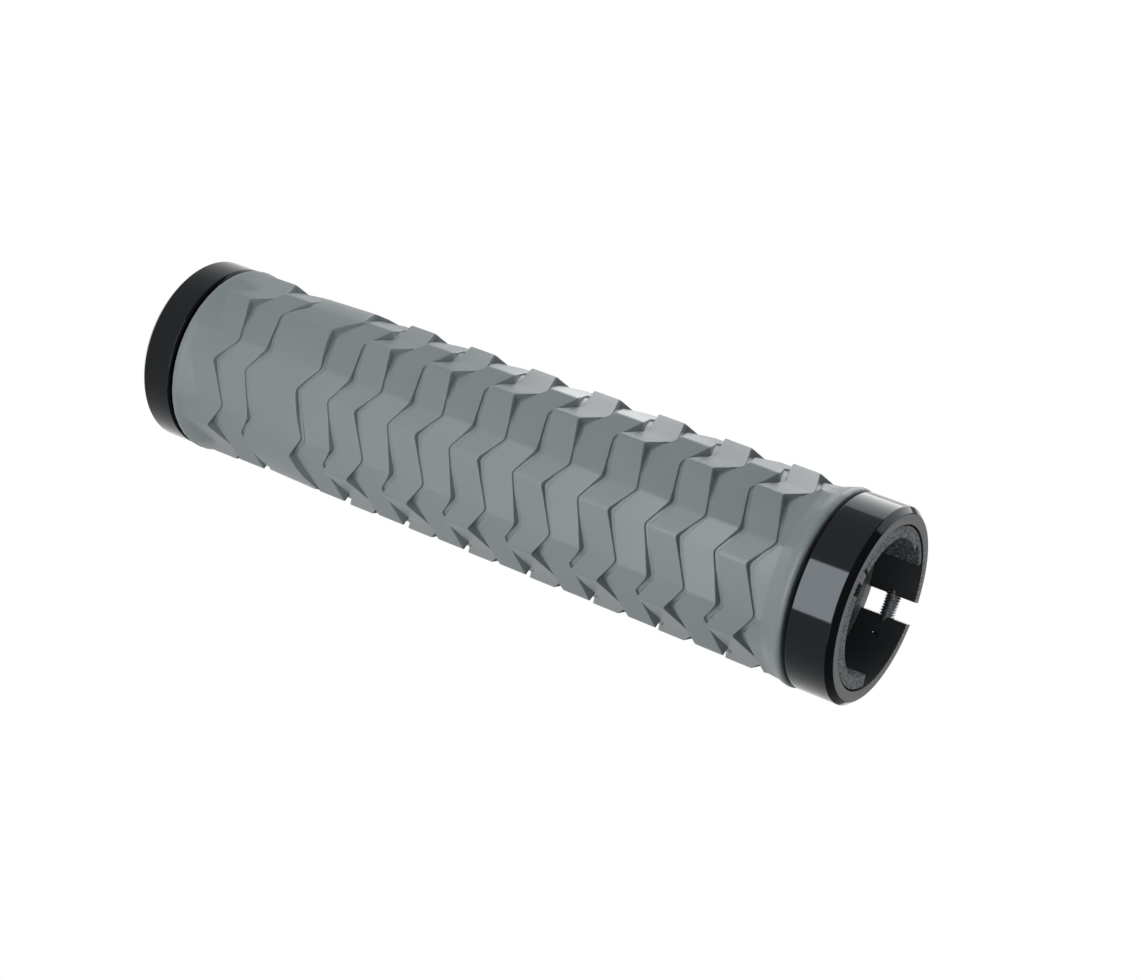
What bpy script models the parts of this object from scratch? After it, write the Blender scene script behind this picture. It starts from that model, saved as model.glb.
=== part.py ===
"""A bicycle handlebar grip of the lock-on type.

A grey rubber grip is moulded round a hard plastic sleeve. At each end the sleeve runs on as a
half-shell tongue inside a split aluminium clamp ring, and one small bolt across each ring's gap
pinches it onto the handlebar. The grip stands on its inboard ring: the bar's axis is Z, the bar
end is up, and the palm side of the tread faces -Y.
"""
import math

import bmesh
import bpy
from mathutils import Vector

# Overall, in metres
LENGTH = 0.1345
CLEARANCE = 0.0003

# Sleeve
BAR_BORE_RADIUS = 0.0112
SLEEVE_WALL = 0.0019
SLEEVE_RADIUS = BAR_BORE_RADIUS + SLEEVE_WALL
TONGUE_SECTOR = (128.0, 379.5)
TONGUE_THIN_END = 22.0
TONGUE_THIN_WALL = 0.0009
TONGUE_SETBACK = 0.0009
NOTCH_SECTOR = (245.0, 265.3)

# Clamp rings, outside the sleeve's tongue
RING_WALL = 0.0026
RING_RADIUS = SLEEVE_RADIUS + CLEARANCE + RING_WALL
OUTBOARD_RING_WIDTH = 0.0080
INBOARD_RING_WIDTH = 0.0065
RING_SLIT = 0.0036
RING_OUTER_CHAMFER = 0.0009
RING_INNER_CHAMFER = 0.0004
KEY_AZIMUTH = 251.9
KEY_HALF_ANGLE = 3.8
KEY_HEIGHT = 0.0019
RING_SEGMENTS = 90
CUT_REACH = RING_RADIUS + 0.004

# Clamp bolts, M2.6 with a low head, in the middle of the ring's wall and width. The head's seat lies
# where the wall curves away, so the head shows outside.
BOLT_RADIUS = 0.0013
BOLT_INSET = 0.0015
BOLT_AXIS_RADIUS = RING_RADIUS - BOLT_INSET
BOLT_SEAT = 0.0050
BOLT_HEAD_RADIUS = 0.00175
BOLT_HEAD_HEIGHT = 0.0013
BOLT_LENGTH = 0.0086
BOLT_CHAMFER = 0.0003
SOCKET_ACROSS_FLATS = 0.0020
SOCKET_DEPTH = 0.0009

# Rubber body, moulded just proud of the sleeve. Its ends flare into collars, a little prouder than
# the rings. A collar's shoulder and neck are each a distance from its rim and a drop in radius.
RUBBER_START = INBOARD_RING_WIDTH + 0.0006
RUBBER_END = LENGTH - OUTBOARD_RING_WIDTH - 0.0004
COLLAR_RISE = 0.0002
COLLAR_RADIUS = RING_RADIUS + COLLAR_RISE
COLLAR_ROUNDING = 0.0004
COLLAR_SHOULDER = (0.0013, 0.0002)
COLLAR_NECK = (0.0021, 0.0005)

# Tread: two kinds of band follow each other along the grip, divided by zigzag grooves
FOLDS = 8
LONG_LEG = 28.5
LONG_LEG_STEPS = 3
SHORT_LEG_STEPS = 2
ZIGZAG = 0.0029
CREST_RADIUS = RING_RADIUS
CREST_OFFSET = 0.0004
CREST_OFFSET_AZIMUTH = 180.0
FIRST_BANDS_DROP = 0.0002
PALM_AZIMUTH = 270.0
PALM_STEP = 0.00065
FINGER_STEP = 0.00125
PALM_HALF_ANGLE = 15.0
FINGER_HALF_ANGLE = 50.0
GROOVE_DEPTH = 0.0003
GROOVE_FLOOR = 0.0005
WALL_DRAFT = 0.19
FIRST_FACET = 0.0025
FIRST_BAND = 0.0054
CREST_BAND = 0.0063
VALLEY_BAND = 0.00597
PANEL_LENGTH = 0.0112
PANEL_INSET = 0.0006
PANEL_RISE = 0.00025
FIRST_GROOVE = RUBBER_START + FIRST_FACET + FIRST_BAND
PANEL_START = FIRST_GROOVE + CREST_BAND
LAST_BAND_MARGIN = 0.0036


def clear_scene():
    for obj in list(bpy.data.objects):
        bpy.data.objects.remove(obj, do_unlink=True)


def make_material(name, colour, roughness, metallic=0.0):
    material = bpy.data.materials.new(name)
    material.use_nodes = True
    shader = material.node_tree.nodes["Principled BSDF"]
    shader.inputs["Base Color"].default_value = (*colour, 1.0)
    shader.inputs["Roughness"].default_value = roughness
    shader.inputs["Metallic"].default_value = metallic
    return material


def make_object(name, bm, material=None, smooth_angle=None):
    """Turn a bmesh into a named object with outward faces."""
    bmesh.ops.recalc_face_normals(bm, faces=bm.faces)
    mesh = bpy.data.meshes.new(name)
    bm.to_mesh(mesh)
    bm.free()
    obj = bpy.data.objects.new(name, mesh)
    bpy.context.scene.collection.objects.link(obj)
    if material is not None:
        mesh.materials.append(material)
    if smooth_angle is not None:
        mesh.shade_smooth()
        mesh.set_sharp_from_angle(angle=math.radians(smooth_angle))
    return obj


def make_cutter(name, bm):
    """A shape used only by a Boolean: it isn't part of the object."""
    cutter = make_object(name, bm)
    cutter.hide_render = True
    cutter.display_type = "WIRE"
    return cutter


def cut(obj, cutter, name):
    modifier = obj.modifiers.new(name, "BOOLEAN")
    modifier.operation = "DIFFERENCE"
    modifier.solver = "EXACT"
    modifier.object = cutter
    return modifier


def polar(radius, azimuth, z):
    angle = math.radians(azimuth)
    return Vector((radius * math.cos(angle), radius * math.sin(angle), z))


def skin_rows(bm, rows, closed_columns, closed_rows=False):
    """Join rows of points with quads. Columns close round the axis, rows close into a tube."""
    grid = [[bm.verts.new(point) for point in row] for row in rows]
    row_pairs = list(zip(grid, grid[1:]))
    if closed_rows:
        row_pairs.append((grid[-1], grid[0]))
    for low, high in row_pairs:
        count = len(low)
        last = count if closed_columns else count - 1
        for i in range(last):
            j = (i + 1) % count
            bm.faces.new((low[i], low[j], high[j], high[i]))
    return grid


def lathe(profile, segments):
    """Revolve a closed profile of (radius, z) points round Z."""
    bm = bmesh.new()
    rows = [[polar(radius, 360.0 * s / segments, z) for s in range(segments)] for radius, z in profile]
    skin_rows(bm, rows, closed_columns=True, closed_rows=True)
    return bm


def solid_lathe(profile, segments):
    """Revolve an open profile round Z and close its two ends with a flat cap."""
    bm = bmesh.new()
    rows = [[polar(radius, 360.0 * s / segments, z) for s in range(segments)] for radius, z in profile]
    grid = skin_rows(bm, rows, closed_columns=True)
    bm.faces.new(grid[0])
    bm.faces.new(grid[-1])
    return bm


def sector_block(radius, start, end, bottom, top, inner_radius=0.004):
    """A thick wedge between two azimuths, for cutting a tube's wall away."""
    bm = bmesh.new()
    steps = max(2, round((end - start) / 5.0))
    azimuths = [start + (end - start) * s / steps for s in range(steps + 1)]
    rows = []
    for r, z in ((inner_radius, bottom), (radius, bottom), (radius, top), (inner_radius, top)):
        rows.append([polar(r, azimuth, z) for azimuth in azimuths])
    grid = skin_rows(bm, rows, closed_columns=False, closed_rows=True)
    bm.faces.new([row[0] for row in grid])
    bm.faces.new([row[-1] for row in grid])
    return bm


def cross_cylinder(radius, start, end, height, z, segments=24):
    """A cylinder that lies along X, across the ring's gap."""
    bm = solid_lathe([(radius, start), (radius, end)], segments)
    for vert in bm.verts:
        across, up, along = vert.co
        vert.co = Vector((along, height + up, z + across))
    return bm


# Clamp ring: a turned ring with a chamfered outer face, slit once and drilled across the slit. A small
# key stands on its inside and sits in the tongue's notch.

def mirrored(sector):
    """The same sector after half a turn about Y."""
    return 180.0 - sector[1], 180.0 - sector[0]


def make_ring(name, width, z, turned_over, material):
    """Made with its rubber side at z = 0 and its outer face on top, then put in its place."""
    bore = SLEEVE_RADIUS + CLEARANCE
    key_tip = bore - KEY_HEIGHT
    profile = [
        (key_tip, 0.0),
        (RING_RADIUS - RING_INNER_CHAMFER, 0.0),
        (RING_RADIUS, RING_INNER_CHAMFER),
        (RING_RADIUS, width - RING_OUTER_CHAMFER),
        (RING_RADIUS - RING_OUTER_CHAMFER, width),
        (key_tip, width),
    ]
    ring = make_object(name, lathe(profile, RING_SEGMENTS), material, smooth_angle=30)
    key_start = KEY_AZIMUTH - KEY_HALF_ANGLE
    key_end = KEY_AZIMUTH + KEY_HALF_ANGLE
    key_face = width - TONGUE_SETBACK
    slit = bmesh.new()
    bmesh.ops.create_cube(slit, size=1.0)
    for vert in slit.verts:
        vert.co = Vector((vert.co.x * RING_SLIT, (vert.co.y + 0.5) * CUT_REACH, vert.co.z * 3.0 * width))
    hole_radius = BOLT_RADIUS + CLEARANCE
    pocket_radius = BOLT_HEAD_RADIUS + CLEARANCE
    pocket_floor = BOLT_SEAT - CLEARANCE
    shapes = {
        "bore": sector_block(bore, key_end, key_start + 360.0, -0.001, width + 0.001),
        "key_end": sector_block(bore, key_start - 3.0, key_end + 3.0, key_face, width + 0.0011, 0.0041),
        "slit": slit,
        "bolt_hole": cross_cylinder(hole_radius, -CUT_REACH, CUT_REACH, BOLT_AXIS_RADIUS, width / 2),
        "head_pocket": cross_cylinder(pocket_radius, pocket_floor, CUT_REACH, BOLT_AXIS_RADIUS, width / 2),
    }
    made = [ring]
    for shape, bm in shapes.items():
        cutter = make_cutter("cut_" + shape + "_" + name, bm)
        cut(ring, cutter, shape.replace("_", " "))
        made.append(cutter)
    for obj in made:
        obj.location.z = z
        if turned_over:
            obj.rotation_euler.y = math.pi
    return ring


def make_bolt(name, z, turned_over, material):
    """Turned along Z and laid along X: a shank with a chamfered end, and a low head with a hex socket."""
    head_top = BOLT_SEAT + BOLT_HEAD_HEIGHT
    tip = BOLT_SEAT - BOLT_LENGTH
    profile = [
        (BOLT_RADIUS - BOLT_CHAMFER, tip),
        (BOLT_RADIUS, tip + BOLT_CHAMFER),
        (BOLT_RADIUS, BOLT_SEAT),
        (BOLT_HEAD_RADIUS, BOLT_SEAT),
        (BOLT_HEAD_RADIUS, head_top - BOLT_CHAMFER),
        (BOLT_HEAD_RADIUS - BOLT_CHAMFER, head_top),
    ]
    bm = solid_lathe(profile, 24)
    for vert in bm.verts:
        across, up, along = vert.co
        vert.co = Vector((along, up, across))
    bolt = make_object(name, bm, material, smooth_angle=35)
    socket_radius = SOCKET_ACROSS_FLATS / 2 / math.cos(math.pi / 6)
    socket_floor = head_top - SOCKET_DEPTH
    socket = cross_cylinder(socket_radius, socket_floor, head_top + SOCKET_DEPTH, 0.0, 0.0, segments=6)
    socket_cutter = make_cutter("cut_socket_" + name, socket)
    cut(bolt, socket_cutter, "Hex socket")
    for obj in (bolt, socket_cutter):
        obj.location = (0.0, BOLT_AXIS_RADIUS, z)
        if turned_over:
            obj.rotation_euler.y = math.pi
    return bolt


# Rubber body: rows of points from end to end. A row holds one point for each station round the grip.

def fold_azimuths():
    """Azimuths of the facets' fold lines. A zigzag is low at even folds and high at odd ones."""
    pitch = 360.0 / FOLDS
    folds = []
    for k in range(FOLDS):
        folds += [k * pitch, k * pitch + LONG_LEG]
    return folds


def step_height(azimuth):
    """How far one band stands above its neighbour at a fold: less under the palm than under the fingers."""
    away = abs((azimuth - PALM_AZIMUTH + 180.0) % 360.0 - 180.0)
    t = min(max((away - PALM_HALF_ANGLE) / (FINGER_HALF_ANGLE - PALM_HALF_ANGLE), 0.0), 1.0)
    blend = t * t * (3.0 - 2.0 * t)
    return PALM_STEP + (FINGER_STEP - PALM_STEP) * blend


def crest_shift(azimuth, z):
    """The tread stands a little further out on the -X side, most of all halfway along the grip."""
    from_middle = z / (LENGTH / 2) - 1.0
    turn = math.radians(azimuth - CREST_OFFSET_AZIMUTH)
    return CREST_OFFSET * (1.0 - from_middle * from_middle) * math.cos(turn)


def facet_radius(kind, fold, z):
    """Radius of a band at a fold: a crest band is high at odd folds, a valley band at even ones."""
    azimuth = fold_azimuths()[fold]
    high = CREST_RADIUS + crest_shift(azimuth, z)
    if z < PANEL_START + ZIGZAG:
        high -= FIRST_BANDS_DROP
    is_high = (fold % 2 == 1) == (kind == "crest")
    return high if is_high else high - step_height(azimuth)


def stations():
    """(fold, next fold, fraction between them) for every station round the grip."""
    result = []
    for fold in range(2 * FOLDS):
        steps = LONG_LEG_STEPS if fold % 2 == 0 else SHORT_LEG_STEPS
        result += [(fold, (fold + 1) % (2 * FOLDS), s / steps) for s in range(steps)]
    return result


def surface_point(surface, station, z):
    """A point in the cross-section: on a flat facet for a band, on a round for the panel or a radius."""
    fold, following, t = station
    azimuths = fold_azimuths()
    start = azimuths[fold]
    end = azimuths[following] + (360.0 if following == 0 else 0.0)
    azimuth = start + (end - start) * t
    if isinstance(surface, float):
        return polar(surface, azimuth, 0.0)
    if surface == "panel":
        rise = PANEL_RISE * (z - PANEL_START) / PANEL_LENGTH
        return polar(CREST_RADIUS - PANEL_INSET + rise + crest_shift(azimuth, z), azimuth, 0.0)
    first = polar(facet_radius(surface, fold, z), start, 0.0)
    second = polar(facet_radius(surface, following, z), end, 0.0)
    return first.lerp(second, t)


def zigzag_shift(station):
    fold, _, t = station
    return ZIGZAG * (t if fold % 2 == 0 else 1.0 - t)


def plain_row(surface, z, zigzag=False):
    row = []
    for station in stations():
        point = surface_point(surface, station, z)
        point.z = z + (zigzag_shift(station) if zigzag else 0.0)
        row.append(point)
    return row


def groove_rows(before, after, z):
    """Four rows across one groove: its two edges and the two sides of its floor."""
    rows = [[], [], [], []]
    for station in stations():
        low_side = surface_point(before, station, z)
        high_side = surface_point(after, station, z)
        floor_radius = min(low_side.length, high_side.length) - GROOVE_DEPTH
        floor = (low_side.normalized() + high_side.normalized()).normalized() * floor_radius
        centre = z + zigzag_shift(station)
        low_edge = centre - GROOVE_FLOOR / 2 - WALL_DRAFT * (low_side.length - floor_radius)
        high_edge = centre + GROOVE_FLOOR / 2 + WALL_DRAFT * (high_side.length - floor_radius)
        rows[0].append(Vector((low_side.x, low_side.y, low_edge)))
        rows[1].append(Vector((floor.x, floor.y, centre - GROOVE_FLOOR / 2)))
        rows[2].append(Vector((floor.x, floor.y, centre + GROOVE_FLOOR / 2)))
        rows[3].append(Vector((high_side.x, high_side.y, high_edge)))
    return rows


def collar_rows(rim, inward):
    """The flare at one end, from the rim towards the tread: inward is +1 or -1 along the bar."""
    return [
        plain_row(SLEEVE_RADIUS + CLEARANCE, rim),
        plain_row(COLLAR_RADIUS - COLLAR_ROUNDING, rim),
        plain_row(COLLAR_RADIUS, rim + inward * COLLAR_ROUNDING),
        plain_row(COLLAR_RADIUS - COLLAR_SHOULDER[1], rim + inward * COLLAR_SHOULDER[0]),
        plain_row(COLLAR_RADIUS - COLLAR_NECK[1], rim + inward * COLLAR_NECK[0]),
    ]


def rubber_rows():
    tread_end = RUBBER_END - LAST_BAND_MARGIN
    rows = collar_rows(RUBBER_START, 1.0)
    rows.append(plain_row("valley", RUBBER_START + FIRST_FACET, zigzag=True))
    rows += groove_rows("valley", "crest", FIRST_GROOVE)
    rows += groove_rows("crest", "panel", PANEL_START)
    z = PANEL_START + PANEL_LENGTH
    rows += groove_rows("panel", "crest", z)
    while z + CREST_BAND + VALLEY_BAND + ZIGZAG < tread_end:
        rows += groove_rows("crest", "valley", z + CREST_BAND)
        z += CREST_BAND + VALLEY_BAND
        rows += groove_rows("valley", "crest", z)
    rows.append(plain_row("crest", tread_end))
    rows += reversed(collar_rows(RUBBER_END, -1.0))
    return rows


def make_rubber(material):
    bm = bmesh.new()
    skin_rows(bm, rubber_rows(), closed_columns=True, closed_rows=True)
    return make_object("rubber_grip", bm, material, smooth_angle=9)


# Sleeve: a plain tube, whose wall is cut back to a tongue inside each ring. The tongue is thinned
# from the inside along one of its edges.

def make_sleeve(material):
    bottom = TONGUE_SETBACK
    top = LENGTH - TONGUE_SETBACK
    inner = BAR_BORE_RADIUS
    outer = SLEEVE_RADIUS
    tube = lathe([(inner, bottom), (outer, bottom), (outer, top), (inner, top)], 72)
    sleeve = make_object("inner_sleeve", tube, material, smooth_angle=30)
    missing = (TONGUE_SECTOR[1] - 360.0, TONGUE_SECTOR[0])
    ring_start = LENGTH - OUTBOARD_RING_WIDTH - CLEARANCE
    thinned = (TONGUE_SECTOR[0] - 5.0, TONGUE_SECTOR[0] + TONGUE_THIN_END)
    step = outer - TONGUE_THIN_WALL
    cuts = {
        "tongue_inboard": (CUT_REACH, mirrored(missing), -0.002, INBOARD_RING_WIDTH + CLEARANCE),
        "step_inboard": (step, mirrored(thinned), -0.0021, INBOARD_RING_WIDTH),
        "notch_inboard": (CUT_REACH, mirrored(NOTCH_SECTOR), -0.002, INBOARD_RING_WIDTH),
        "tongue_outboard": (CUT_REACH, missing, ring_start, LENGTH + 0.002),
        "step_outboard": (step, thinned, ring_start + CLEARANCE, LENGTH + 0.0021),
        "notch_outboard": (CUT_REACH, NOTCH_SECTOR, ring_start + CLEARANCE, LENGTH + 0.002),
    }
    for name, (radius, sector, low, high) in cuts.items():
        cutter = make_cutter("cut_" + name, sector_block(radius, sector[0], sector[1], low, high))
        cut(sleeve, cutter, name.replace("_", " "))
    return sleeve


clear_scene()

rubber = make_material("grey_rubber", (0.23, 0.26, 0.27), 0.55)
plastic = make_material("dark_nylon", (0.055, 0.06, 0.065), 0.6)
anodised = make_material("black_anodised_aluminium", (0.016, 0.017, 0.018), 0.25, 0.6)
steel = make_material("bolt_steel", (0.35, 0.35, 0.36), 0.35, 1.0)

make_rubber(rubber)
make_sleeve(plastic)

make_ring("clamp_ring_outboard", OUTBOARD_RING_WIDTH, LENGTH - OUTBOARD_RING_WIDTH, False, anodised)
make_ring("clamp_ring_inboard", INBOARD_RING_WIDTH, INBOARD_RING_WIDTH, True, anodised)
make_bolt("clamp_bolt_outboard", LENGTH - OUTBOARD_RING_WIDTH / 2, False, steel)
make_bolt("clamp_bolt_inboard", INBOARD_RING_WIDTH / 2, True, steel)
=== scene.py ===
"""Looks of a lock-on handlebar grip: grey rubber over a dark nylon sleeve, with black clamp rings."""

import math

import bmesh
import bpy
from mathutils import Matrix, Vector


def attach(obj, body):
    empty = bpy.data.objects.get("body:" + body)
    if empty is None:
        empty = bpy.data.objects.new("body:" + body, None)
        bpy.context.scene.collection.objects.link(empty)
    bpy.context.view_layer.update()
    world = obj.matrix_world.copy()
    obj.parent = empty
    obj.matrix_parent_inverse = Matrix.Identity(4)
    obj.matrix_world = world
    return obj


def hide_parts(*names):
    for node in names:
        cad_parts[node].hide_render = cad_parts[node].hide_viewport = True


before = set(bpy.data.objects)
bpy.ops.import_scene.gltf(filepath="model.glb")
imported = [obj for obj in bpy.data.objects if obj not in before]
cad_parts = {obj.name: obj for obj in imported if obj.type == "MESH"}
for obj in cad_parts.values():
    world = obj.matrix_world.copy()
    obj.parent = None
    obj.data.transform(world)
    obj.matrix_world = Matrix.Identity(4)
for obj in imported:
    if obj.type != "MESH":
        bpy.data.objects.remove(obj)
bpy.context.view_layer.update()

# Camera: a long lens that looks down on the standing grip, turned on its side so that the grip
# runs across the picture from upper left to lower right, as it does in the photograph.

MM = 0.001


def place_camera(aim, distance, azimuth, elevation, roll, lens):
    """A camera that looks at a point from a distance (metres), with its angles in degrees."""
    turn, lift, tilt = (math.radians(angle) for angle in (azimuth, elevation, roll))
    back = Vector((math.sin(turn) * math.cos(lift), -math.cos(turn) * math.cos(lift), math.sin(lift)))
    level = Vector((math.cos(turn), math.sin(turn), 0.0))
    upright = back.cross(level)
    right = level * math.cos(tilt) + upright * math.sin(tilt)
    up = back.cross(right)
    data = bpy.data.cameras.new("photo_camera")
    data.lens = lens
    data.sensor_width = 36.0
    data.clip_start = 0.01
    data.clip_end = 20.0
    camera = bpy.data.objects.new("photo_camera", data)
    bpy.context.scene.collection.objects.link(camera)
    place = Matrix((right, up, back)).transposed().to_4x4()
    place.translation = Vector(aim) + back * distance
    camera.matrix_world = place
    return camera


bpy.context.scene.camera = place_camera(
    aim=(0.18 * MM, -0.01 * MM, 77.96 * MM),
    distance=394.29 * MM,
    azimuth=-3.7,
    elevation=27.267,
    roll=110.988,
    lens=77.19,
)
bpy.context.scene.view_settings.view_transform = "Standard"

# Studio: a paper floor that the camera and reflections see as plain white, while the light that it
# throws back still has the grip's shadow. Soft boxes stand low round the grip, since its upright
# walls mirror what lies just above the floor; only the top box, for the end face, stands high.

def linear(hex_colour):
    """An sRGB hex colour as linear RGBA."""
    channels = [int(hex_colour[i:i + 2], 16) / 255.0 for i in (1, 3, 5)]
    return tuple(c / 12.92 if c <= 0.04045 else ((c + 0.055) / 1.055) ** 2.4 for c in channels) + (1.0,)


def add(tree, kind, settings=None, links=None):
    """One node with its settings (properties, or inputs by name or number) and its incoming links."""
    node = tree.nodes.new(kind)
    for key, value in (settings or {}).items():
        if isinstance(key, int) or key in node.inputs:
            node.inputs[key].default_value = value
        else:
            setattr(node, key, value)
    for key, socket in (links or {}).items():
        tree.links.new(socket, node.inputs[key])
    return node


floor_mesh = bpy.data.meshes.new("studio_floor")
reach = 2.5
floor_corners = [(-reach, -reach, 0), (reach, -reach, 0), (reach, reach, 0), (-reach, reach, 0)]
floor_mesh.from_pydata(floor_corners, [], [(0, 1, 2, 3)])
studio_floor = bpy.data.objects.new("studio_floor", floor_mesh)
bpy.context.scene.collection.objects.link(studio_floor)

white_paper = bpy.data.materials.new("white_paper")
white_paper.use_nodes = True
tree = white_paper.node_tree
tree.nodes.clear()
paper = add(tree, "ShaderNodeBsdfDiffuse", {"Color": linear("#E6E6E6")})
glow = add(tree, "ShaderNodeEmission", {"Color": (1.0, 1.0, 1.0, 1.0), "Strength": 1.0})
ray = add(tree, "ShaderNodeLightPath")
direct = add(tree, "ShaderNodeMath", {"operation": "MAXIMUM"},
             {0: ray.outputs["Is Camera Ray"], 1: ray.outputs["Is Glossy Ray"]})
seen = add(tree, "ShaderNodeMath", {"operation": "MAXIMUM"},
           {0: direct.outputs[0], 1: ray.outputs["Is Transmission Ray"]})
mix = add(tree, "ShaderNodeMixShader", None,
          {0: seen.outputs[0], 1: paper.outputs[0], 2: glow.outputs[0]})
add(tree, "ShaderNodeOutputMaterial", None, {"Surface": mix.outputs[0]})
floor_mesh.materials.append(white_paper)

world = bpy.data.worlds.new("studio_world")
bpy.context.scene.world = world
world.use_nodes = True
world.node_tree.nodes["Background"].inputs["Color"].default_value = linear("#F4F6FA")
world.node_tree.nodes["Background"].inputs["Strength"].default_value = 0.27


def soft_box(name, azimuth, distance, height, width, tall, aim_height, radiance):
    """An area light at an azimuth round the grip (degrees from +X to +Y), aimed at its axis."""
    turn = math.radians(azimuth)
    place = Vector((distance * math.cos(turn), distance * math.sin(turn), height))
    data = bpy.data.lights.new(name, "AREA")
    data.shape = "RECTANGLE"
    data.size = width
    data.size_y = tall
    data.energy = radiance * width * tall * math.pi
    lamp = bpy.data.objects.new(name, data)
    bpy.context.scene.collection.objects.link(lamp)
    lamp.visible_camera = False
    lamp.location = place
    lamp.rotation_mode = "QUATERNION"
    lamp.rotation_quaternion = (Vector((0.0, 0.0, aim_height)) - place).to_track_quat("-Z", "Y")


soft_box("back_box", azimuth=143.0, distance=0.20, height=0.160,
         width=0.19, tall=0.30, aim_height=0.13, radiance=2.1)
soft_box("edge_box", azimuth=126.0, distance=0.12, height=0.020,
         width=0.14, tall=0.036, aim_height=0.06, radiance=1.8)
soft_box("front_strip", azimuth=272.0, distance=0.19, height=0.058,
         width=0.20, tall=0.038, aim_height=0.05, radiance=9.0)
soft_box("front_box", azimuth=304.0, distance=0.55, height=0.14,
         width=0.40, tall=0.5, aim_height=0.08, radiance=1.1)
soft_box("top_box", azimuth=86.0, distance=0.42, height=0.345,
         width=0.22, tall=0.22, aim_height=0.13, radiance=0.75)

# Rubber: one moulding of grey thermoplastic rubber, injected round the sleeve in a steel mould. Its
# tread is two kinds of faceted band by turns, with zigzag grooves between them. One pair of bands
# is modelled, Geometry Nodes repeat it along the bar, and a second tree gives the grip its barrel.

# Heights in mm from the inboard ring's outer face, and radii in mm from the bar's axis.
RUBBER_START, RUBBER_END = 7.1, 126.1
RUBBER_BORE = 13.4
CREST = 16.0
PANEL_LOW, PANEL_HIGH = 15.4, 15.65
CREST_BAND, VALLEY_BAND = 6.3, 5.97
PAIR_PITCH = CREST_BAND + VALLEY_BAND
PAIRS = 7
FIRST_GROOVE = 15.0
PANEL_GROOVE = 21.3
TREAD_GROOVE = 32.5
ZIGZAG = 2.9
LIP_EASE, FOOT_EASE = 0.13, 0.08
BARREL_SWELL, BARREL_LEAN = 0.1, -0.25

# The rounded bead at each end, from its rim inwards: (drop below its top, distance along the bar).
BEAD = 16.2
BEAD_FOOT = 2.5
BEAD_SECTION = (
    (0.55, 0.0), (0.3, 0.05), (0.1, 0.2), (0.0, 0.5),
    (0.0, 0.85), (0.08, 1.2), (0.24, 1.55), (0.38, 2.1),
)

# Fold lines, in degrees from +X towards +Y: a long leg and a short one by turns. The steps between
# bands are shallow where the palm lies and deepen over the fade on both sides of it.
FOLDS = 16
FOLD_PAIR = 45.0
LONG_LEG = 28.5
PALM, PALM_HALF_WIDTH, STEP_FADE = 270.0, 15.0, 35.0
PALM_STEP, STEP_GROWTH = 0.65, 0.6

# Shares of a leg at which a row has points. The folds are eased over the first and last share.
LONG_EASE, SHORT_EASE = 0.06, 0.1
LONG_SHARES = (0.0, LONG_EASE, 0.35, 0.65, 1.0 - LONG_EASE)
SHORT_SHARES = (0.0, SHORT_EASE, 0.5, 1.0 - SHORT_EASE)

# Share of the zigzag's height that is cut off at its points, and how near (mm) points are welded.
POINT_CUT = 0.045
WELD = 0.01


def fold_azimuth(fold):
    return (fold // 2) * FOLD_PAIR + (LONG_LEG if fold % 2 else 0.0)


def fold_radius(kind, fold):
    """A crest band stands high at odd folds and low at even ones, a valley band the other way."""
    if (fold % 2 == 1) == (kind == "crest"):
        return CREST
    from_palm = abs((fold_azimuth(fold) - PALM + 180.0) % 360.0 - 180.0)
    t = min(max((from_palm - PALM_HALF_WIDTH) / STEP_FADE, 0.0), 1.0)
    return CREST - PALM_STEP - STEP_GROWTH * t * t * (3.0 - 2.0 * t)


# Places round the grip as (fold, share of the way to the next): the fold itself, then along its leg.
STATIONS = []
for fold in range(FOLDS):
    for share in SHORT_SHARES if fold % 2 else LONG_SHARES:
        STATIONS.append((fold, share))


def cross_section(surface):
    """(x, y) of every station: on facets with eased folds, or on a circle if surface is a radius."""
    points = []
    for fold, share in STATIONS:
        start = fold_azimuth(fold)
        leg = fold_azimuth(fold + 1) - start
        if isinstance(surface, float):
            angle = math.radians(start + leg * share)
            points.append(Vector((surface * math.cos(angle), surface * math.sin(angle))))
            continue
        corners = []
        for k in (fold - 1, fold, fold + 1):
            angle = math.radians(fold_azimuth(k))
            radius = fold_radius(surface, k % FOLDS)
            corners.append(Vector((radius * math.cos(angle), radius * math.sin(angle))))
        if share > 0.0:
            points.append(corners[1].lerp(corners[2], share))
        else:
            ease_before, ease_after = LONG_EASE, SHORT_EASE
            if fold % 2 == 0:
                ease_before, ease_after = SHORT_EASE, LONG_EASE
            before = corners[1].lerp(corners[0], ease_before)
            after = corners[1].lerp(corners[2], ease_after)
            points.append(before * 0.25 + corners[1] * 0.5 + after * 0.25)
    return points


def zigzag_shifts():
    """How far up the bar each station of a groove lies, with the zigzag's points cut a little."""
    shifts = []
    for fold, share in STATIONS:
        rise = share if fold % 2 == 0 else 1.0 - share
        if share == 0.0:
            rise = POINT_CUT if fold % 2 == 0 else 1.0 - POINT_CUT
        shifts.append(ZIGZAG * rise)
    return shifts


SHIFTS = zigzag_shifts()


def smooth_row(surface, z, zigzag=False):
    """A row of points round the bar at one height, or along the zigzag above it."""
    row = []
    for point, shift in zip(cross_section(surface), SHIFTS):
        row.append((point.x, point.y, z + (shift if zigzag else 0.0)))
    return row


def faded_row(surface, radius, share, z):
    """A row part of the way from a band's facets to a plain round."""
    facets, round_row = cross_section(surface), cross_section(radius)
    return [(*a.lerp(b, share), z) for a, b in zip(facets, round_row)]


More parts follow.
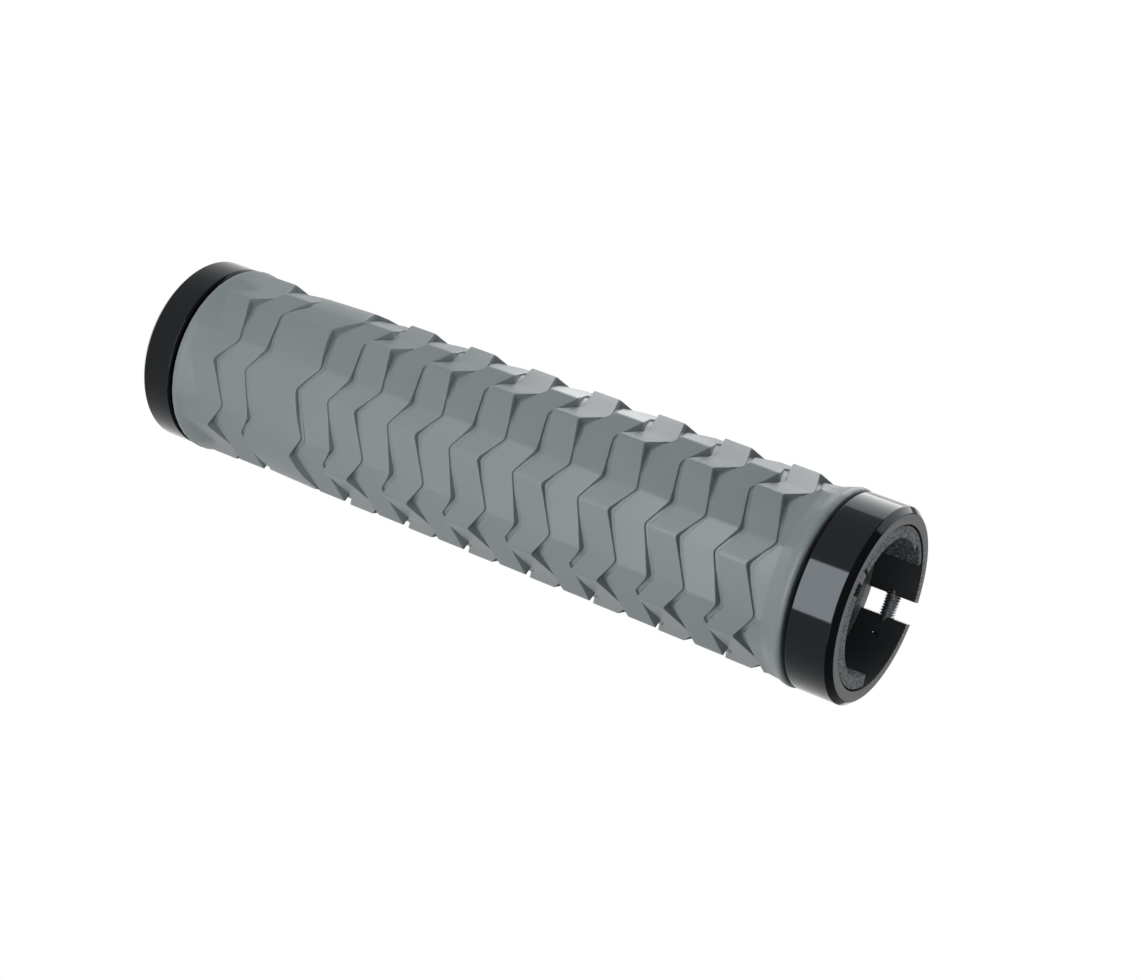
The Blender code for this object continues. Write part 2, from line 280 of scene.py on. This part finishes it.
def eased(before, corner, after, reach, count):
    """Points along a rounded corner that starts and ends at a reach from it."""
    start = corner + (before - corner).normalized() * reach
    end = corner + (after - corner).normalized() * reach
    points = []
    for i in range(count):
        t = i / (count - 1)
        points.append(start * (1 - t) ** 2 + corner * 2 * t * (1 - t) + end * t * t)
    return points


def groove(before, after, z, depth=0.36, floor=0.78, draft=0.15):
    """Rows of points across one groove: rounded lip, drafted wall, eased floor, wall and lip."""
    columns = []
    for low, high, shift in zip(cross_section(before), cross_section(after), SHIFTS):
        bottom = min(low.length, high.length) - depth
        centre = z + shift
        lip_a = Vector((low.length, centre - floor / 2 - draft * (low.length - bottom)))
        foot_a = Vector((bottom, centre - floor / 2))
        foot_b = Vector((bottom, centre + floor / 2))
        lip_b = Vector((high.length, centre + floor / 2 + draft * (high.length - bottom)))
        far_a = lip_a - Vector((0.0, 1.0))
        far_b = lip_b + Vector((0.0, 1.0))
        line = eased(far_a, lip_a, foot_a, LIP_EASE, 4)
        line += eased(lip_a, foot_a, foot_b, FOOT_EASE, 3)
        line += eased(foot_a, foot_b, lip_b, FOOT_EASE, 3)
        line += eased(foot_b, lip_b, far_b, LIP_EASE, 4)
        turn_a, turn_b = low.normalized(), high.normalized()
        column = []
        for i, point in enumerate(line):
            t = i / (len(line) - 1)
            direction = turn_a.lerp(turn_b, t).normalized()
            column.append((direction.x * point.x, direction.y * point.x, point.y))
        columns.append(column)
    return [[column[i] for column in columns] for i in range(len(columns[0]))]


def held(rows, spans, margin=0.12):
    """The rows, with two more just inside each span (named by its first row) to hold its bends."""
    out = []
    for i, row in enumerate(rows):
        out.append(row)
        if i - len(rows) in spans or i in spans:
            following = rows[i + 1]
            for t in (margin, 1.0 - margin):
                out.append([tuple(Vector(a).lerp(Vector(b), t)) for a, b in zip(row, following)])
    return out


def bead_rows(rim, inward):
    """The rounded bead at one end, from the rim towards the tread (inward is +1 or -1)."""
    return [smooth_row(BEAD - drop, rim + inward * along) for drop, along in BEAD_SECTION]


def tube_mesh(name, rows, closed=False):
    """A mesh from rows of points (in mm) that each run round the bar."""
    bm = bmesh.new()
    grid = [[bm.verts.new(Vector(point) * MM) for point in row] for row in rows]
    pairs = list(zip(grid, grid[1:])) + ([(grid[-1], grid[0])] if closed else [])
    for low, high in pairs:
        count = len(low)
        for i in range(count):
            j = (i + 1) % count
            bm.faces.new((low[i], low[j], high[j], high[i]))
    mesh = bpy.data.meshes.new(name)
    bm.to_mesh(mesh)
    bm.free()
    return mesh


def new_piece(name, mesh):
    piece = bpy.data.objects.new(name, mesh)
    bpy.context.scene.collection.objects.link(piece)
    return piece


def new_tree(name, inputs):
    """A Geometry Nodes tree with a geometry output and named inputs, and its input node."""
    tree = bpy.data.node_groups.new(name, "GeometryNodeTree")
    for label, kind in inputs:
        tree.interface.new_socket(label, in_out="INPUT", socket_type="NodeSocket" + kind)
    tree.interface.new_socket("Geometry", in_out="OUTPUT", socket_type="NodeSocketGeometry")
    return tree, add(tree, "NodeGroupInput")


def grow(piece, tree, values):
    """Run a tree on the piece with these inputs, by their sockets' identifiers."""
    modifier = piece.modifiers.new(tree.name, "NODES")
    modifier.node_group = tree
    sockets = {}
    for item in tree.interface.items_tree:
        if item.in_out == "INPUT":
            sockets[item.name] = item.identifier
    for label, value in values.items():
        modifier[sockets[label]] = value


def baked(piece):
    """The piece with its modifiers turned into plain mesh."""
    graph = bpy.context.evaluated_depsgraph_get()
    graph.update()
    mesh = bpy.data.meshes.new_from_object(piece.evaluated_get(graph), depsgraph=graph)
    piece.modifiers.clear()
    piece.data = mesh
    return piece


def weighed(piece, sharp_angle):
    """Smooth shading that keeps broad faces flat and folds past the angle sharp."""
    piece.data.shade_smooth()
    piece.data.set_sharp_from_angle(angle=math.radians(sharp_angle))
    piece.modifiers.new("weighted normals", "WEIGHTED_NORMAL").keep_sharp = True
    return baked(piece)


grey_rubber = bpy.data.materials.new("moulded_grey_rubber")
grey_rubber.use_nodes = True

repeat, given = new_tree("repeat bands along the bar", [
    ("Geometry", "Geometry"),
    ("Pairs", "Int"),
    ("Pitch", "Float"),
])
step = add(repeat, "ShaderNodeCombineXYZ", None, {"Z": given.outputs["Pitch"]})
line = add(repeat, "GeometryNodeMeshLine", {"mode": "OFFSET"},
           {"Count": given.outputs["Pairs"], "Offset": step.outputs[0]})
copies = add(repeat, "GeometryNodeInstanceOnPoints", None,
             {"Points": line.outputs[0], "Instance": given.outputs["Geometry"]})
real = add(repeat, "GeometryNodeRealizeInstances", None, {0: copies.outputs[0]})
joined = add(repeat, "GeometryNodeMergeByDistance", {"Distance": WELD * MM}, {0: real.outputs[0]})
painted = add(repeat, "GeometryNodeSetMaterial", {"Material": grey_rubber}, {0: joined.outputs[0]})
add(repeat, "NodeGroupOutput", None, {0: painted.outputs[0]})

pair_rows = [groove("valley", "crest", TREAD_GROOVE)[-1]]
pair_rows += groove("crest", "valley", TREAD_GROOVE + CREST_BAND)
pair_rows += groove("valley", "crest", TREAD_GROOVE + PAIR_PITCH)
tread_pairs = new_piece("tread_pairs", tube_mesh("tread_pairs", pair_rows))
grow(tread_pairs, repeat, {"Pairs": PAIRS, "Pitch": PAIR_PITCH * MM})
baked(tread_pairs)

start_rows = bead_rows(RUBBER_START, 1.0)
crease = len(start_rows)
start_rows.append(smooth_row("valley", RUBBER_START + BEAD_FOOT, zigzag=True))
start_rows += groove("valley", "crest", FIRST_GROOVE)
start_rows = held(start_rows, (crease - 1, crease))
start_rows += groove("crest", PANEL_LOW, PANEL_GROOVE)
start_rows += groove(PANEL_HIGH, "crest", TREAD_GROOVE)
end_rows = [
    groove("valley", "crest", TREAD_GROOVE + PAIRS * PAIR_PITCH)[-1],
    faded_row("crest", radius=15.6, share=0.45, z=RUBBER_END - 3.8),
]
end_rows += reversed(bead_rows(RUBBER_END, -1.0))
end_rows = held(end_rows, (0, 1))

# The barrel: every point moves out by the swell and across by the lean, most of all at half length.
barrel, given = new_tree("barrel of the grip", [
    ("Geometry", "Geometry"),
    ("Start", "Float"),
    ("End", "Float"),
    ("Swell", "Float"),
    ("Lean", "Float"),
])
where = add(barrel, "GeometryNodeInputPosition")
axes = add(barrel, "ShaderNodeSeparateXYZ", None, {0: where.outputs[0]})
along = add(barrel, "ShaderNodeMapRange", None, {
    "Value": axes.outputs["Z"],
    "From Min": given.outputs["Start"],
    "From Max": given.outputs["End"],
})
rest = add(barrel, "ShaderNodeMath", {"operation": "SUBTRACT", 0: 1.0}, {1: along.outputs[0]})
hump = add(barrel, "ShaderNodeMath", {"operation": "MULTIPLY"},
           {0: along.outputs[0], 1: rest.outputs[0]})
bulge = add(barrel, "ShaderNodeMath", {"operation": "MULTIPLY", 1: 4.0}, {0: hump.outputs[0]})
out = add(barrel, "ShaderNodeMath", {"operation": "MULTIPLY"},
          {0: bulge.outputs[0], 1: given.outputs["Swell"]})
across = add(barrel, "ShaderNodeMath", {"operation": "MULTIPLY"},
             {0: bulge.outputs[0], 1: given.outputs["Lean"]})
flat = add(barrel, "ShaderNodeCombineXYZ", None, {"X": axes.outputs["X"], "Y": axes.outputs["Y"]})
outward_way = add(barrel, "ShaderNodeVectorMath", {"operation": "NORMALIZE"}, {0: flat.outputs[0]})
swollen = add(barrel, "ShaderNodeVectorMath", {"operation": "SCALE"},
              {0: outward_way.outputs[0], "Scale": out.outputs[0]})
leaning = add(barrel, "ShaderNodeCombineXYZ", None, {"X": across.outputs[0]})
offset = add(barrel, "ShaderNodeVectorMath", {"operation": "ADD"},
             {0: swollen.outputs[0], 1: leaning.outputs[0]})
moved = add(barrel, "GeometryNodeSetPosition", None,
            {"Geometry": given.outputs["Geometry"], "Offset": offset.outputs[0]})
real = add(barrel, "GeometryNodeRealizeInstances", None, {0: moved.outputs[0]})
painted = add(barrel, "GeometryNodeSetMaterial", {"Material": grey_rubber}, {0: real.outputs[0]})
add(barrel, "NodeGroupOutput", None, {0: painted.outputs[0]})


def joined_mesh(name, meshes):
    """One mesh of several that meet, welded where they meet and with its faces turned outward."""
    bm = bmesh.new()
    for mesh in meshes:
        bm.from_mesh(mesh)
    bmesh.ops.remove_doubles(bm, verts=bm.verts, dist=WELD * MM)
    bmesh.ops.recalc_face_normals(bm, faces=bm.faces)
    mesh = bpy.data.meshes.new(name)
    bm.to_mesh(mesh)
    bm.free()
    return mesh


skin = joined_mesh("rubber_skin", [
    tread_pairs.data,
    tube_mesh("start", start_rows),
    tube_mesh("end", end_rows),
])
bpy.data.objects.remove(tread_pairs, do_unlink=True)
rubber_body = new_piece("rubber_body", skin)
grow(rubber_body, barrel, {
    "Start": RUBBER_START * MM,
    "End": RUBBER_END * MM,
    "Swell": BARREL_SWELL * MM,
    "Lean": BARREL_LEAN * MM,
})
baked(rubber_body)
bore_rows = [
    end_rows[-1],
    smooth_row(RUBBER_BORE, RUBBER_END),
    smooth_row(RUBBER_BORE, RUBBER_START),
    start_rows[0],
]
rubber_body.data = joined_mesh("rubber_body", [rubber_body.data, tube_mesh("bore", bore_rows)])
rubber_body.data.materials.append(grey_rubber)
weighed(rubber_body, sharp_angle=50.0)

# Moulded rubber: a cool mid grey that drifts a little over patches (sizes in mm) and shines softly
# aslant. The blasted mould's grain is finer than this; it is as coarse as it needs to show.
PATCH = 11.111
GRAIN, GRAIN_RELIEF = 0.2857, 0.03
tree = grey_rubber.node_tree
shader = tree.nodes["Principled BSDF"]
shader.inputs["Roughness"].default_value = 0.4
shader.inputs["IOR"].default_value = 1.5
place = add(tree, "ShaderNodeTexCoord")
bloom = add(tree, "ShaderNodeTexNoise", {"Scale": 1.0 / (PATCH * MM), "Detail": 3.0},
            {"Vector": place.outputs["Object"]})
tint = add(tree, "ShaderNodeMix", {"data_type": "RGBA", 6: linear("#747C7E"), 7: linear("#7C8486")},
           {0: bloom.outputs["Fac"]})
tree.links.new(tint.outputs[2], shader.inputs["Base Color"])
grain = add(tree, "ShaderNodeTexNoise", {"Scale": 1.0 / (GRAIN * MM), "Detail": 2.0},
            {"Vector": place.outputs["Object"]})
relief = add(tree, "ShaderNodeBump", {"Strength": 0.35, "Distance": GRAIN_RELIEF * MM},
             {"Height": grain.outputs["Fac"]})
tree.links.new(relief.outputs[0], shader.inputs["Normal"])

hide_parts("rubber_grip")
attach(rubber_body, "root")

# Sleeve: an injection-moulded tube of glass-filled nylon, with the rubber moulded onto it. Inside
# each ring its wall goes on as an open tongue, with a rough end, a thinned edge and a notch for the
# ring's key.

GRIP_LENGTH = 134.5
OUTBOARD_WIDTH, INBOARD_WIDTH = 8.0, 6.5
RING_START = GRIP_LENGTH - OUTBOARD_WIDTH
SLEEVE_BORE, SLEEVE_OUTSIDE = 11.2, 13.1
TONGUE_SETBACK = 0.15
TONGUE_TOP = GRIP_LENGTH - TONGUE_SETBACK
THINNED_INSIDE = 12.2

# A cutter's wall starts well inside the bore and ends well outside the rings and past the ends.
CUT_INSIDE, CUT_OUTSIDE = 4.0, 20.0
CUT_PAST = 3.0
ARC_STEP = 3.0

# Cuts that leave the outboard tongue: name, azimuths from and to, outer radius, and how far the
# cut starts before the ring. The inboard tongue has the same cuts, turned over.
TONGUE_CUTS = (
    ("gap", 19.5, 128.0, CUT_OUTSIDE, 0.3),
    ("thinned_edge", 123.0, 150.0, THINNED_INSIDE, 0.0),
    ("key_notch", 245.0, 265.3, CUT_OUTSIDE, 0.0),
)


def lathe_rows(profile, segments):
    """Rows for tube_mesh from (radius, z) points in mm."""
    rows = []
    for radius, z in profile:
        turns = [math.tau * s / segments for s in range(segments)]
        rows.append([(radius * math.cos(t), radius * math.sin(t), z) for t in turns])
    return rows


def solid_from(name, bm):
    """An object from a bmesh, with its faces turned outward."""
    bmesh.ops.recalc_face_normals(bm, faces=bm.faces)
    mesh = bpy.data.meshes.new(name)
    bm.to_mesh(mesh)
    bm.free()
    return new_piece(name, mesh)


def turned(name, profile, segments):
    """A closed ring of revolution from (radius, z) points."""
    bm = bmesh.new()
    bm.from_mesh(tube_mesh(name, lathe_rows(profile, segments), closed=True))
    return solid_from(name, bm)


def sector_cutter(name, inner, outer, start, end, low, high):
    """A wedge between two azimuths, to cut a wall away."""
    steps = max(2, round((end - start) / ARC_STEP))
    rim = []
    for s in range(steps + 1):
        a = math.radians(start + (end - start) * s / steps)
        rim.append((math.cos(a), math.sin(a)))
    bm = bmesh.new()
    grid = []
    for radius, z in ((inner, low), (outer, low), (outer, high), (inner, high)):
        grid.append([bm.verts.new(Vector((x * radius, y * radius, z)) * MM) for x, y in rim])
    for i in range(4):
        a, b = grid[i], grid[(i + 1) % 4]
        for j in range(steps):
            bm.faces.new((a[j], a[j + 1], b[j + 1], b[j]))
    bm.faces.new([row[0] for row in grid])
    bm.faces.new([row[-1] for row in grid])
    return solid_from(name, bm)


def carved(piece, cutters, bevel, sharp_angle=35.0):
    """Cut the piece, break its cut edges with a small bevel, and leave plain mesh."""
    for cutter in cutters:
        cut = piece.modifiers.new(cutter.name, "BOOLEAN")
        cut.operation = "DIFFERENCE"
        cut.solver = "EXACT"
        cut.object = cutter
    edge = piece.modifiers.new("broken edges", "BEVEL")
    edge.width = bevel * MM
    edge.segments = 2
    edge.limit_method = "ANGLE"
    edge.angle_limit = math.radians(42.0)
    baked(piece)
    for cutter in cutters:
        bpy.data.objects.remove(cutter, do_unlink=True)
    return weighed(piece, sharp_angle)


def tongue_cutters(outboard):
    """The wedges for one tongue. Each reaches a little further than the last: none share a face."""
    cutters = []
    for i, (cut, start, end, outer, before_ring) in enumerate(TONGUE_CUTS):
        further = 0.1 * i
        if outboard:
            low, high = RING_START - before_ring, GRIP_LENGTH + CUT_PAST + further
        else:
            start, end = 180.0 - end, 180.0 - start
            low, high = -CUT_PAST - further, INBOARD_WIDTH + before_ring
        cutters.append(sector_cutter(cut, CUT_INSIDE + further, outer, start, end, low, high))
    return cutters


sleeve_profile = [
    (SLEEVE_BORE, TONGUE_SETBACK),
    (SLEEVE_OUTSIDE, TONGUE_SETBACK),
    (SLEEVE_OUTSIDE, TONGUE_TOP),
    (SLEEVE_BORE, TONGUE_TOP),
]
sleeve = turned("nylon_sleeve", sleeve_profile, segments=144)
carved(sleeve, tongue_cutters(outboard=True) + tongue_cutters(outboard=False), bevel=0.1)

# Glass-filled nylon: charcoal and matt, with pale specks of glass and a rough, pitted surface. The
# fibres are far finer than the specks, which are as coarse as they need to show.
SPECK, SPECK_RELIEF = 0.3846, 0.12
filled_nylon = bpy.data.materials.new("glass_filled_nylon")
filled_nylon.use_nodes = True
tree = filled_nylon.node_tree
shader = tree.nodes["Principled BSDF"]
shader.inputs["Roughness"].default_value = 0.55
place = add(tree, "ShaderNodeTexCoord")
specks = add(tree, "ShaderNodeTexNoise",
             {"Scale": 1.0 / (SPECK * MM), "Detail": 3.0, "Roughness": 0.65},
             {"Vector": place.outputs["Object"]})
spread = add(tree, "ShaderNodeMapRange", {"From Min": 0.42, "From Max": 0.68},
             {"Value": specks.outputs["Fac"]})
tint = add(tree, "ShaderNodeMix", {"data_type": "RGBA", 6: linear("#3C4042"), 7: linear("#9A9EA0")},
           {0: spread.outputs[0]})
tree.links.new(tint.outputs[2], shader.inputs["Base Color"])
relief = add(tree, "ShaderNodeBump", {"Strength": 0.5, "Distance": SPECK_RELIEF * MM},
             {"Height": specks.outputs["Fac"]})
tree.links.new(relief.outputs[0], shader.inputs["Normal"])
sleeve.data.materials.clear()
sleeve.data.materials.append(filled_nylon)
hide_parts("inner_sleeve")
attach(sleeve, "root")

# Clamp rings: turned from aluminium bar with a chamfered face, slit once, drilled across the slit
# for one screw, then anodised black. A small key inside sits in the notch of the sleeve's tongue.

RING_RADIUS = 16.0
RING_BORE = 13.4
FACE_CHAMFER, BACK_CHAMFER = 0.9, 0.4
TURNED_EASE = 0.13
KEY_TIP = 11.5
KEY_START, KEY_END = 248.1, 255.7
KEY_MARGIN = 3.0
SLIT_WIDTH = 3.6
SCREW_HOLE = 1.4
SCREW_FROM_AXIS = 14.5
SCREW_SEAT = 5.0
SCREW_PLAY = 0.3
HEAD_RADIUS = 1.75

# A cutter passes the face that it leaves by the margin, and the slit's is much taller than a ring.
CUT_MARGIN = 1.0
SLIT_TALL = 30.0


def across_cutter(name, radius, start, end, z, segments=48):
    """A cylinder or prism that lies along X through the ring's wall."""
    bm = bmesh.new()
    ends = []
    for x in (start, end):
        ring = []
        for s in range(segments):
            t = math.tau * s / segments
            y = SCREW_FROM_AXIS + radius * math.cos(t)
            ring.append(bm.verts.new(Vector((x, y, z + radius * math.sin(t))) * MM))
        ends.append(ring)
    for i in range(segments):
        j = (i + 1) % segments
        bm.faces.new((ends[0][i], ends[0][j], ends[1][j], ends[1][i]))
    bm.faces.new(ends[0])
    bm.faces.new(ends[1])
    return solid_from(name, bm)


def eased_profile(corners, reach, count=4):
    """A closed (radius, z) outline with every corner rounded."""
    points = []
    total = len(corners)
    for i, corner in enumerate(corners):
        before, after = Vector(corners[i - 1]), Vector(corners[(i + 1) % total])
        corner = Vector(corner)
        limit = 0.4 * min((before - corner).length, (after - corner).length)
        size = min(reach, limit)
        points += [tuple(p) for p in eased(before, corner, after, size, count)]
    return points


def clamp_ring(name, width, base, turned_over):
    """A ring bored all round but for its key, then slit, drilled and given a pocket for the head."""
    outline = eased_profile([
        (KEY_TIP, 0.0),
        (RING_RADIUS - BACK_CHAMFER, 0.0),
        (RING_RADIUS, BACK_CHAMFER),
        (RING_RADIUS, width - FACE_CHAMFER),
        (RING_RADIUS - FACE_CHAMFER, width),
        (KEY_TIP, width),
    ], TURNED_EASE)
    ring = turned(name, outline, segments=180)
    slit = bmesh.new()
    bmesh.ops.create_cube(slit, size=1.0)
    for vert in slit.verts:
        x, y, z = vert.co
        vert.co = Vector((x * SLIT_WIDTH, (y + 0.5) * CUT_OUTSIDE, z * SLIT_TALL)) * MM
    key_end = width - TONGUE_SETBACK
    past = width + CUT_MARGIN
    pocket = HEAD_RADIUS + SCREW_PLAY
    carved(ring, [
        sector_cutter("bore", CUT_INSIDE, RING_BORE,
                      KEY_END, KEY_START + 360.0, -CUT_MARGIN, past),
        sector_cutter("key_end", CUT_INSIDE + 0.1, RING_BORE,
                      KEY_START - KEY_MARGIN, KEY_END + KEY_MARGIN, key_end, past + 0.1),
        solid_from("slit", slit),
        across_cutter("screw_hole", SCREW_HOLE, -CUT_OUTSIDE, CUT_OUTSIDE, width / 2),
        across_cutter("head_pocket", pocket, SCREW_SEAT - SCREW_PLAY, CUT_OUTSIDE, width / 2),
    ], bevel=0.08)
    turn = Matrix.Rotation(math.pi, 4, "Y") if turned_over else Matrix.Identity(4)
    ring.data.transform(Matrix.Translation((0.0, 0.0, base * MM)) @ turn)
    return ring


outboard_ring = clamp_ring("ring_bar_end", OUTBOARD_WIDTH, RING_START, False)
inboard_ring = clamp_ring("ring_lever_side", INBOARD_WIDTH, INBOARD_WIDTH, True)

# Anodised aluminium: the dye makes the metal nearly black, and the turned surface keeps its shine.
black_anodised = bpy.data.materials.new("black_anodised_aluminium")
black_anodised.use_nodes = True
tree = black_anodised.node_tree
shader = tree.nodes["Principled BSDF"]
shader.inputs["Base Color"].default_value = linear("#252729")
shader.inputs["Metallic"].default_value = 1.0
shader.inputs["Roughness"].default_value = 0.08

# The bore is left matt by the boring tool, so there the dye shows and the shine doesn't.
matt_bore = bpy.data.materials.new("matt_anodised_bore")
matt_bore.use_nodes = True
shader = matt_bore.node_tree.nodes["Principled BSDF"]
shader.inputs["Base Color"].default_value = linear("#3C3F41")
shader.inputs["Roughness"].default_value = 0.5
bored = (RING_BORE + 0.02) * MM
for ring, node in ((outboard_ring, "clamp_ring_outboard"), (inboard_ring, "clamp_ring_inboard")):
    ring.data.materials.clear()
    ring.data.materials.append(black_anodised)
    ring.data.materials.append(matt_bore)
    for face in ring.data.polygons:
        if face.center.xy.length < bored and abs(face.normal.z) < 0.5:
            face.material_index = 1
    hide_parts(node)
    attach(ring, "root")

# Screws: M2.6 machine screws of zinc-plated steel with a low socket head, one to draw each slit
# together. The rolled thread shows in the slit, and Geometry Nodes wrap it from a flat sheet.

SHANK_LENGTH = 8.6
THREAD_RADIUS, THREAD_PITCH, THREAD_DEPTH = 1.3, 0.45, 0.26
THREAD_WELD, HEAD_WELD = 0.002, 0.005
HEAD_HEIGHT = 1.3
HEAD_CORNER = (0.2, 0.25)
SOCKET_CORNER, SOCKET_DEPTH = 1.155, 0.9

# The head's outline stops this short of its own axis, and the weld then closes both ends.
NEAR_AXIS = 0.001

thread, given = new_tree("rolled thread", [
    ("Length", "Float"),
    ("Radius", "Float"),
    ("Pitch", "Float"),
    ("Depth", "Float"),
    ("Material", "Material"),
])
sheet = add(thread, "GeometryNodeMeshGrid", {"Size Y": 1.0, "Vertices X": 160, "Vertices Y": 33},
            {"Size X": given.outputs["Length"]})
where = add(thread, "GeometryNodeInputPosition")
axes = add(thread, "ShaderNodeSeparateXYZ", None, {0: where.outputs[0]})
turns = add(thread, "ShaderNodeMath", {"operation": "DIVIDE"},
            {0: axes.outputs["X"], 1: given.outputs["Pitch"]})
phase = add(thread, "ShaderNodeMath", {"operation": "SUBTRACT"},
            {0: turns.outputs[0], 1: axes.outputs["Y"]})
flank = add(thread, "ShaderNodeMath", {"operation": "PINGPONG", 1: 0.5}, {0: phase.outputs[0]})
height = add(thread, "ShaderNodeMath", {"operation": "MULTIPLY", 1: 2.0}, {0: flank.outputs[0]})
drop = add(thread, "ShaderNodeMath", {"operation": "MULTIPLY"},
           {0: height.outputs[0], 1: given.outputs["Depth"]})
radius = add(thread, "ShaderNodeMath", {"operation": "SUBTRACT"},
             {0: given.outputs["Radius"], 1: drop.outputs[0]})
angle = add(thread, "ShaderNodeMath", {"operation": "MULTIPLY", 1: math.tau}, {0: axes.outputs["Y"]})
cosine = add(thread, "ShaderNodeMath", {"operation": "COSINE"}, {0: angle.outputs[0]})
sine = add(thread, "ShaderNodeMath", {"operation": "SINE"}, {0: angle.outputs[0]})
side_y = add(thread, "ShaderNodeMath", {"operation": "MULTIPLY"},
             {0: cosine.outputs[0], 1: radius.outputs[0]})
side_z = add(thread, "ShaderNodeMath", {"operation": "MULTIPLY"},
             {0: sine.outputs[0], 1: radius.outputs[0]})
wrapped = add(thread, "ShaderNodeCombineXYZ", None,
              {"X": axes.outputs["X"], "Y": side_y.outputs[0], "Z": side_z.outputs[0]})
rolled = add(thread, "GeometryNodeSetPosition", None,
             {"Geometry": sheet.outputs[0], "Position": wrapped.outputs[0]})
closed = add(thread, "GeometryNodeMergeByDistance", {"Distance": THREAD_WELD * MM},
             {0: rolled.outputs[0]})
real = add(thread, "GeometryNodeRealizeInstances", None, {0: closed.outputs[0]})
painted = add(thread, "GeometryNodeSetMaterial", None,
              {0: real.outputs[0], "Material": given.outputs["Material"]})
add(thread, "NodeGroupOutput", None, {0: painted.outputs[0]})

# Zinc-plated steel: a bright cool grey that the plating leaves a little dull.
plated_steel = bpy.data.materials.new("zinc_plated_steel")
plated_steel.use_nodes = True
shader = plated_steel.node_tree.nodes["Principled BSDF"]
shader.inputs["Base Color"].default_value = linear("#C2C5C7")
shader.inputs["Metallic"].default_value = 1.0
shader.inputs["Roughness"].default_value = 0.38


def clamp_screw(name, z, turned_over):
    """A screw along X at one height, its head on the seat of the ring's pocket."""
    shank = new_piece(name + "_thread", bpy.data.meshes.new(name + "_thread"))
    grow(shank, thread, {
        "Length": SHANK_LENGTH * MM,
        "Radius": THREAD_RADIUS * MM,
        "Pitch": THREAD_PITCH * MM,
        "Depth": THREAD_DEPTH * MM,
        "Material": plated_steel,
    })
    baked(shank)
    shank.data.transform(Matrix.Translation(((SCREW_SEAT - SHANK_LENGTH / 2) * MM, 0.0, 0.0)))
    top = SCREW_SEAT + HEAD_HEIGHT
    corner_in, corner_down = HEAD_CORNER
    outline = [
        (NEAR_AXIS, SCREW_SEAT),
        (HEAD_RADIUS, SCREW_SEAT),
        (HEAD_RADIUS, top - corner_down),
        (HEAD_RADIUS - corner_in, top),
        (NEAR_AXIS, top),
    ]
    head = new_piece(name, tube_mesh(name, lathe_rows(outline, segments=48)))
    head.data.transform(Matrix.Rotation(math.pi / 2, 4, "Y"))
    bm = bmesh.new()
    bm.from_mesh(head.data)
    bmesh.ops.remove_doubles(bm, verts=bm.verts, dist=HEAD_WELD * MM)
    bmesh.ops.recalc_face_normals(bm, faces=bm.faces)
    bm.to_mesh(head.data)
    bm.free()
    socket = across_cutter("hex_socket", SOCKET_CORNER, top - SOCKET_DEPTH, top + CUT_MARGIN, 0.0,
                           segments=6)
    socket.data.transform(Matrix.Translation((0.0, -SCREW_FROM_AXIS * MM, 0.0)))
    carved(head, [socket], bevel=0.04)
    bm = bmesh.new()
    bm.from_mesh(head.data)
    bm.from_mesh(shank.data)
    holes = [e for e in bm.edges if e.is_boundary]
    bmesh.ops.holes_fill(bm, edges=holes, sides=0)
    bmesh.ops.recalc_face_normals(bm, faces=bm.faces)
    bm.to_mesh(head.data)
    bm.free()
    bpy.data.objects.remove(shank, do_unlink=True)
    turn = Matrix.Rotation(math.pi, 4, "Y") if turned_over else Matrix.Identity(4)
    head.data.transform(Matrix.Translation((0.0, SCREW_FROM_AXIS * MM, z * MM)) @ turn)
    head.data.shade_smooth()
    head.data.set_sharp_from_angle(angle=math.radians(40))
    head.data.materials.clear()
    head.data.materials.append(plated_steel)
    return head


SCREWS = (
    ("screw_bar_end", "clamp_bolt_outboard", GRIP_LENGTH - OUTBOARD_WIDTH / 2, False),
    ("screw_lever_side", "clamp_bolt_inboard", INBOARD_WIDTH / 2, True),
)
for name, node, z, turned_over in SCREWS:
    screw = clamp_screw(name, z, turned_over)
    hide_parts(node)
    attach(screw, "root")
